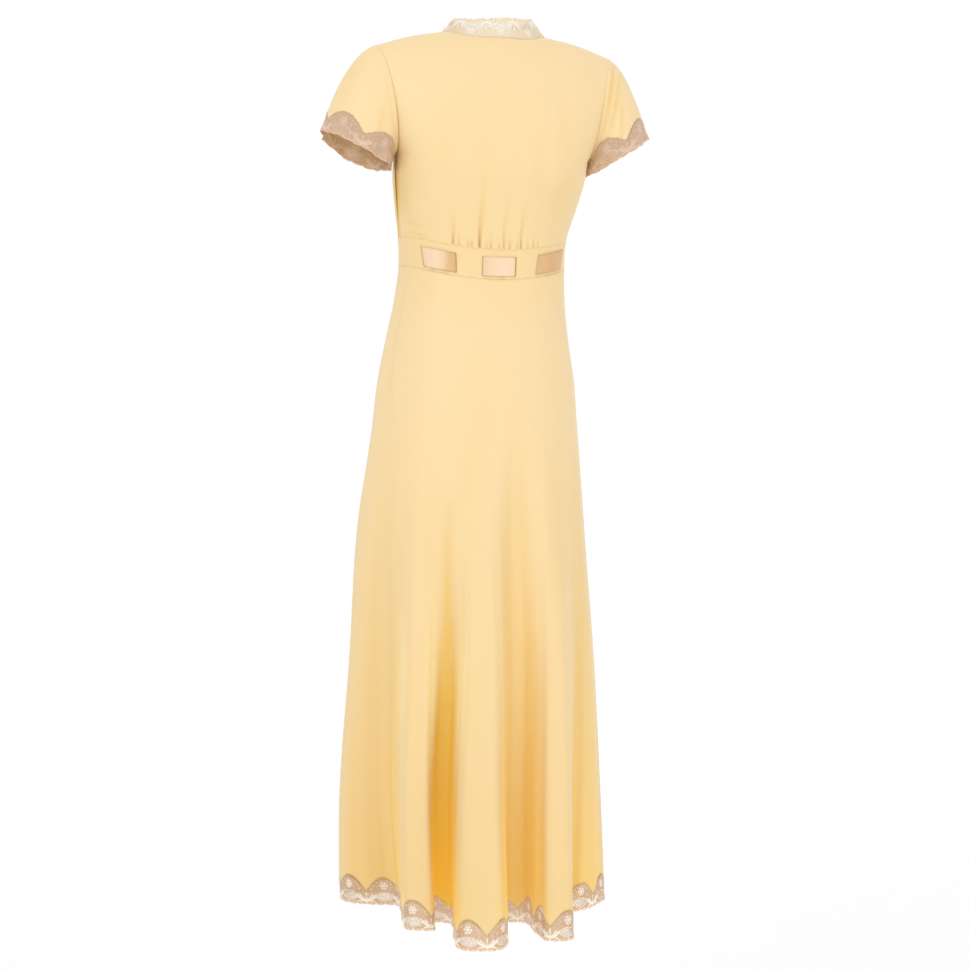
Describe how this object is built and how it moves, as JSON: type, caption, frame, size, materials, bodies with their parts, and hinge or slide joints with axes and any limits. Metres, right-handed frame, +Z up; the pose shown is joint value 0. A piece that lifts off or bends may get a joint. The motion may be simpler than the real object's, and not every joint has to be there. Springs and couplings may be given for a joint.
{
  "type": "long silk dress",
  "caption": "Ankle-length silk dress with short set-in sleeves, a gathered bodice, a ribbon-threaded waistband, a flared skirt in soft folds and scalloped lace edges.",
  "frame": {"origin": "the middle of the shoulder line, where the dress hangs from its wearer", "axes": "+Z up; the front faces -Y and the back +Y; the wearer's left is +X"},
  "size_m": [0.5255, 0.4193, 1.4129],
  "materials": {
    "silk": "pale butter-yellow silk, soft low sheen",
    "satin_ribbon": "peach to copper satin, glossy",
    "lace": "matt nude lace, net open between raised motifs"
  },
  "bodies": {
    "root": {"bodice_back": "silk", "bodice_front": "silk", "sleeve_left": "silk", "sleeve_right": "silk", "waistband": "silk", "ribbon": "satin_ribbon", "skirt_back": "silk", "skirt_front": "silk", "neck_lace": "lace", "cuff_lace_left": "lace", "cuff_lace_right": "lace", "hem_lace_back": "lace", "hem_lace_front": "lace"}
  },
  "joints": []
}
